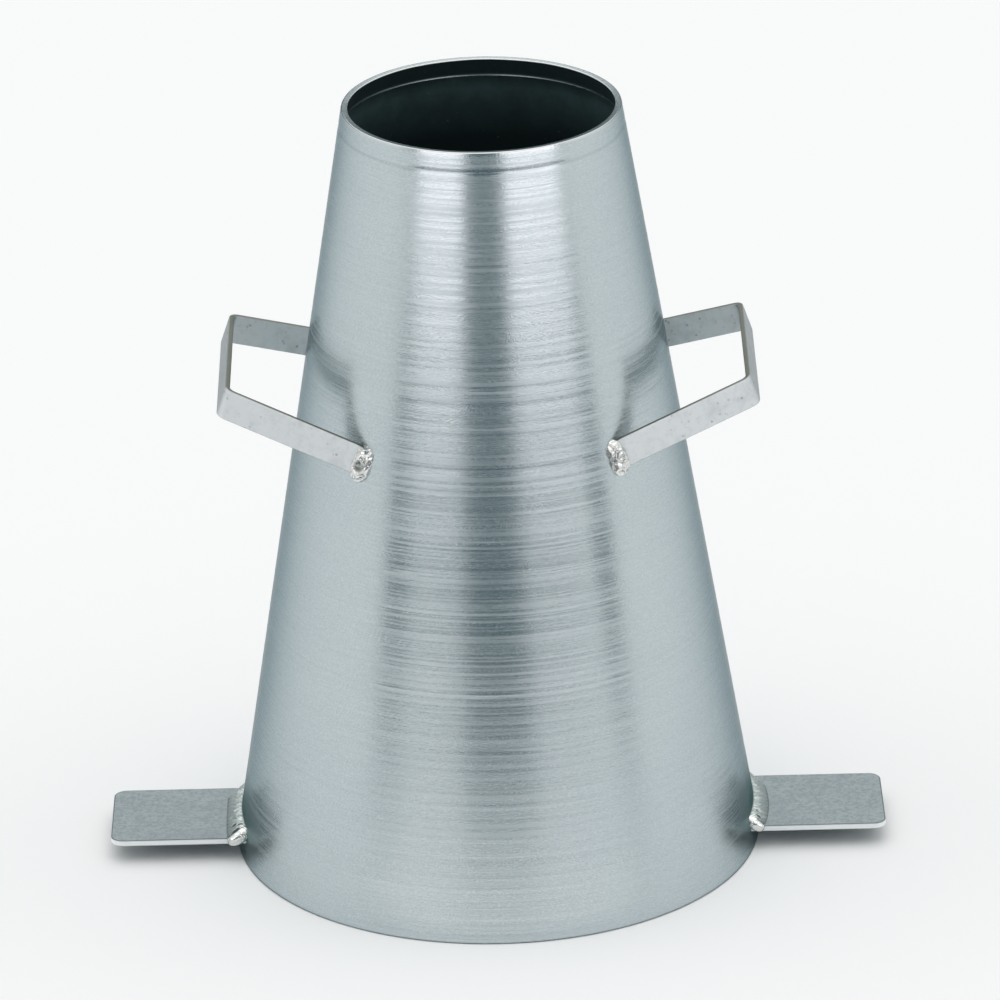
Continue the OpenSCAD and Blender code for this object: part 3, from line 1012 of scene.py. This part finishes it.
def handle_bead_blank(name, end):
    """Blob with flat spots and hollows that fills the corner between the end of a leg and the shell, with
    painted shade on some flat spots and in its hollows
    """
    h, w = settings().handle, settings().weld
    plane = HandlePlane(SIDES[name])
    low, high = -h.bar_width / 2 - w.blob_tail, h.bar_width / 2 + w.blob_head
    middle = plane.seat + plane.across * h.bar_thickness / 2
    middle += plane.along * (w.blob_length / 2 - w.blob_lap)
    least_size = 0.02

    def on_blob(up, turn):
        size = math.sqrt(max(0.0, 1 - abs(up) ** 3)) + least_size
        flat = middle + plane.across * (size * w.blob_depth / 2 * math.cos(turn))
        flat = flat + plane.along * (size * w.blob_length / 2 * math.sin(turn))
        return plane.at(flat, (low + high) / 2 + (high - low) / 2 * up, end)

    core = plane.at(middle, (low + high) / 2, end)
    nudge, hollow_shade = 0.02, 1.4

    def spot_on_blob(up, degrees):
        """Place and facing of a spot on the blob, seen from its middle"""
        turn = math.radians(degrees)
        spot = on_blob(up, turn) - core
        rise = on_blob(up + nudge, turn) - on_blob(up - nudge, turn)
        facing = rise.cross(on_blob(up, turn + nudge) - on_blob(up, turn - nudge)).normalized()
        return spot, facing if facing.dot(spot) > 0 else -facing

    cuts = []
    for up, degrees, depth, dark in FACETS[name]:
        spot, facing = spot_on_blob(up, degrees)
        cuts.append((facing, facing.dot(spot) - depth, dark))
    hollows = [(*spot_on_blob(up, degrees), r) for up, degrees, r in HOLLOWS[name]]
    stations, sides = 80, 84
    rings, along, across, free, dent = [], [], [], [], []
    for i in range(stations + 1):
        up = math.sin(math.pi / 2 * (2 * i / stations - 1))
        ring = []
        for j in range(sides):
            turn = 2 * math.pi * j / sides
            ray = on_blob(up, turn) - core
            kept, shade = 1.0, 0.0
            # Painted shade: chosen flat spots and the hollows are darkened in colour
            for facing, reach, dark in cuts:
                if ray.dot(facing) * kept > reach:
                    kept, shade = reach / ray.dot(facing), dark
            ray = ray * kept
            p = core + ray
            for spot, facing, hollow_r in hollows:
                near = max(0.0, 1 - (ray - spot).length_squared / hollow_r ** 2)
                p -= facing * (w.hollow_share * hollow_r * near)
                shade = max(shade, min(1.0, hollow_shade * near))
            r = math.hypot(p.x, p.y)
            proud = r - outside_r(p.z)
            if proud < -w.sink:
                p.xy = p.xy * ((outside_r(p.z) - w.sink) / r)
            ring.append(p)
            along.append((high - low) / 2 * up)
            across.append(math.sin(turn))
            free.append(max(0.0, min(1.0, proud / w.blob_toe)))
            dent.append(shade)
        rings.append(ring)
    return loft_blank("handle_bead", rings, along=along, across=across, free=free, dent=dent,
                      shine=[1.0] * len(free))


# Operators


class SLUMP_OT_shell(bpy.types.Operator):
    """Turn the shell from its wall section and mark it with spinning rings"""
    bl_idname = "slump.shell"
    bl_label = "Spun shell"

    def execute(self, context):
        s = settings().shell
        obj = make_object("spun_shell", shell_blank())
        obj.data.shade_smooth()
        spinning_marks().apply(obj, {
            "Ring pitch": s.ring_pitch, "Ring depth": s.ring_depth, "Seed": s.seed,
            "Outside finish": spun_zinc(), "Inside finish": dull_inside()})
        finish_piece(obj, "cone_shell")
        return {"FINISHED"}


class SLUMP_OT_handles(bpy.types.Operator):
    """Bend the two flat-bar handles and cope their legs to the shell"""
    bl_idname = "slump.handles"
    bl_label = "Handles"

    def execute(self, context):
        finish = bar_zinc()
        for name, side in SIDES.items():
            obj = make_object(name + "_handle_bar", handle_blank(side))
            obj.data.materials.append(finish)
            hard_edged(obj)
            finish_piece(obj, name + "_handle")
        return {"FINISHED"}


class SLUMP_OT_plates(bpy.types.Operator):
    """Cut the two foot plates and round their edges"""
    bl_idname = "slump.plates"
    bl_label = "Foot plates"

    def execute(self, context):
        finish = plate_zinc()
        for name, side in SIDES.items():
            obj = make_object(name + "_plate", plate_blank(side))
            obj.data.materials.append(finish)
            hard_edged(obj)
            finish_piece(obj, name + "_foot_plate")
        return {"FINISHED"}


class SLUMP_OT_welds(bpy.types.Operator):
    """Lay the beads on the foot plates and at the ends of the handles"""
    bl_idname = "slump.welds"
    bl_label = "Welds"

    def execute(self, context):
        w = settings().weld
        shared = {"Lump size": w.lump_size, "Ridge size": w.ridge_size, "Finish": weld_zinc()}
        on_foot = {"Ripple pitch": w.pitch, "Ripple height": w.ripple, "Bow": 0.4, "Slant": 1.6,
                   "Lump height": w.lump, "Ridge height": 0.2 * w.ridge, "Valley shade": 0.0}
        on_handle = {"Ripple pitch": 2 * w.pitch, "Ripple height": 0.15 * w.ripple, "Bow": 0.8, "Slant": 0.5,
                     "Lump height": 0.5 * w.lump, "Ridge height": w.ridge, "Valley shade": 0.5}
        ripples = weld_ripples()
        beads = []
        for name in SIDES:
            for level, up in (("upper", 1), ("lower", -1)):
                beads.append((f"{name}_foot_{level}", foot_bead_blank(name, up), on_foot))
            for place, end in ENDS.items():
                beads.append((f"{name}_handle_{place}", handle_bead_blank(name, end), on_handle))
        for seed, (name, mesh, relief) in enumerate(beads, start=w.seed + 1):
            obj = make_object(name + "_bead", mesh)
            obj.data.shade_smooth()
            ripples.apply(obj, {**shared, **relief, "Seed": seed})
            finish_piece(obj, name + "_weld")
        return {"FINISHED"}


# Stage


def lay_floor(st):
    """A pale, matt floor that keeps the shadow"""
    reach, drop = 30.0, 0.3 * MM
    worn_floor = (0.92, 0.92, 0.92)
    corners = [(x * reach, y * reach, -drop) for x, y in ((-1, -1), (1, -1), (1, 1), (-1, 1))]
    floor = make_object("floor", mesh_from("floor", corners, [(0, 1, 2, 3)]))
    s = Shader("pale floor")
    tone = s.ramp(s.noise(s.place, 3, 0.5, 2.5), 0.3, 0.7, 0.985, 1.0)
    base = s.mix(tone, worn_floor, st.floor)
    normal = s.bump(s.noise(s.place, 2, 0.5, 60), 0.05, 0.2 * MM)
    s.metal.inputs["Specular IOR Level"].default_value = 0.0
    floor.data.materials.append(s.dress(base, s.ramp(tone, 0, 1, 0.8, 0.9), normal, metallic=0.0))


def light_dome(scene, st):
    """A world that is bright overhead, pale at its sides and dark at its front and back"""
    wall_begin, wall_full, overhead_power = 0.70, 0.95, 1.8
    sky_tint = (1, 0.985, 0.98)
    world = bpy.data.worlds.new("studio")
    world.use_nodes = True
    sky = Writer(world.node_tree)
    facing = sky.node("ShaderNodeTexCoord").outputs["Generated"]
    x, _, z = sky.node("ShaderNodeSeparateXYZ", {0: facing}).outputs
    sides = sky.ramp(sky.maths("ABSOLUTE", x), wall_begin, wall_full)
    horizon = sky.mix(sides, st.room, st.walls)
    overhead = sky.maths("POWER", sky.maths("MAXIMUM", z), overhead_power)
    dome = sky.mix(overhead, horizon, [st.sky_level * part for part in sky_tint])
    sky.join(dome, world.node_tree.nodes["Background"].inputs["Color"])
    scene.world = world


def softbox(name, place, width, height, power, tint=(1, 1, 1)):
    """A lamp turned to the middle of the mould, which only reflections show"""
    middle = Vector((0, 0, 0.15))
    lamp = bpy.data.lights.new(name, "AREA")
    lamp.shape = "RECTANGLE"
    lamp.size, lamp.size_y = width, height
    lamp.energy = power
    lamp.color = tint
    obj = bpy.data.objects.new(name, lamp)
    bpy.context.scene.collection.objects.link(obj)
    obj.visible_camera = False
    obj.visible_diffuse = False
    obj.location = place
    obj.rotation_euler = (middle - Vector(place)).to_track_quat("-Z", "Y").to_euler()


def card(name, corners, tone):
    """A flat card that only reflections show"""
    obj = make_object(name, mesh_from(name, corners, [(0, 1, 2, 3)]))
    paint = bpy.data.materials.new(name)
    paint.use_nodes = True
    paint.node_tree.nodes.clear()
    writer = Writer(paint.node_tree)
    glow = writer.node("ShaderNodeEmission", {"Color": (*tone, 1)}).outputs[0]
    writer.node("ShaderNodeOutputMaterial", {"Surface": glow})
    obj.data.materials.append(paint)
    obj.visible_camera = False
    obj.visible_diffuse = False
    obj.visible_shadow = False


def set_reflections(st):
    """Softboxes and cards that make the bright and dark bands in the metal"""
    warm = (1, 0.91, 0.92)
    softbox("back softbox", (0, 1.5, 1.55), 2.6, 1.2, 9)
    softbox("left softbox", (-0.53, -0.848, 0.415), 0.65, 0.56, 1.8, warm)
    softbox("right softbox", (0.588, -0.809, 0.415), 0.81, 0.56, 2.25, warm)
    camera_shadow_tone, floor_glow_tone = (0.015, 0.06, 0.075), (1.03, 1.02, 1.02)
    low, high = 2 * MM, 3 * MM
    room_far, room_near, flag_near, sheet_far, sheet_near = -3.5, -0.85, -0.51, -0.50, -0.115
    # These cards lie on the floor and only reflections see them. The dark room card is painted shade on the
    # far floor in front. The table flag is a painted shadow of the camera. The white sheet glows a little
    # above white as a painted reflection of the floor in front of the base, without its shadow
    lying = (
        ("dark room", st.room, low,
         ((-4.2, room_far), (5.4, room_far), (1.30, room_near), (-1.02, room_near))),
        ("camera shadow card", camera_shadow_tone, high,
         ((-0.22, room_near), (0.28, room_near), (0.15, flag_near), (-0.12, flag_near))),
        ("floor glow card", floor_glow_tone, low,
         ((-0.30, sheet_far), (0.30, sheet_far), (0.12, sheet_near), (-0.12, sheet_near))))
    for name, tone, z, corners in lying:
        card(name, [(x, y, z) for x, y in corners], tone)
    flag_far, flag_top = 0.75, Vector((0, 0, 0.14))
    for name, degrees, flag_half in (("left", -49.5, 0.09), ("right", 60, 0.075)):
        turn = math.radians(degrees)
        out = Vector((math.sin(turn), -math.cos(turn), 0)) * flag_far
        aside = Vector((math.cos(turn), math.sin(turn), 0)) * flag_half
        near, far = out - aside, out + aside
        card(name + " flag", [near, far, far + flag_top, near + flag_top], st.room)


def stand_camera(scene, st):
    """The camera at the photograph's angle, rolled about its line of sight"""
    camera = bpy.data.cameras.new("camera")
    camera.lens = st.camera_lens
    camera.sensor_width = 36
    eye = bpy.data.objects.new("camera", camera)
    scene.collection.objects.link(eye)
    at, aim = Vector(st.camera_at), Vector(st.camera_aim)
    forward = (aim - at).normalized()
    level = forward.cross(Vector((0, 0, 1))).normalized()
    right = Matrix.Rotation(-st.camera_roll, 3, forward) @ level
    up = right.cross(forward)
    eye.matrix_world = Matrix.Translation(at) @ Matrix((right, up, -forward)).transposed().to_4x4()
    scene.camera = eye


class SLUMP_OT_stage(bpy.types.Operator):
    """Lay the pale floor, set the studio lamps and stand the camera"""
    bl_idname = "slump.stage"
    bl_label = "Stage"

    def execute(self, context):
        st = settings().stage
        context.scene.view_settings.view_transform = "Standard"
        lay_floor(st)
        light_dome(context.scene, st)
        set_reflections(st)
        stand_camera(context.scene, st)
        return {"FINISHED"}


class SLUMP_PT_panel(bpy.types.Panel):
    """Lists the steps that dress the slump cone"""
    bl_idname = "SLUMP_PT_panel"
    bl_label = "Slump cone"
    bl_space_type = "VIEW_3D"
    bl_region_type = "UI"
    bl_category = "Slump cone"

    def draw(self, context):
        for step in STEPS:
            self.layout.operator(step.bl_idname)
        for group in ("shell", "handle", "plate", "weld", "finish", "stage"):
            sizes = getattr(context.scene.slump_cone, group)
            box = self.layout.box()
            box.label(text=group.capitalize())
            for key in sizes.__annotations__:
                box.prop(sizes, key)


STEPS = (SLUMP_OT_shell, SLUMP_OT_handles, SLUMP_OT_plates, SLUMP_OT_welds, SLUMP_OT_stage)
CLASSES = (ShellSizes, HandleSizes, PlateSizes, WeldSizes, Finishes, StageSizes, SlumpCone,
           *STEPS, SLUMP_PT_panel)


def register():
    for made in CLASSES:
        bpy.utils.register_class(made)
    bpy.types.Scene.slump_cone = PointerProperty(type=SlumpCone)


def unregister():
    del bpy.types.Scene.slump_cone
    for made in reversed(CLASSES):
        bpy.utils.unregister_class(made)


def main():
    register()
    bpy.ops.slump.shell()
    bpy.ops.slump.handles()
    bpy.ops.slump.plates()
    bpy.ops.slump.welds()
    bpy.ops.slump.stage()


if __name__ == "__main__":
    main()
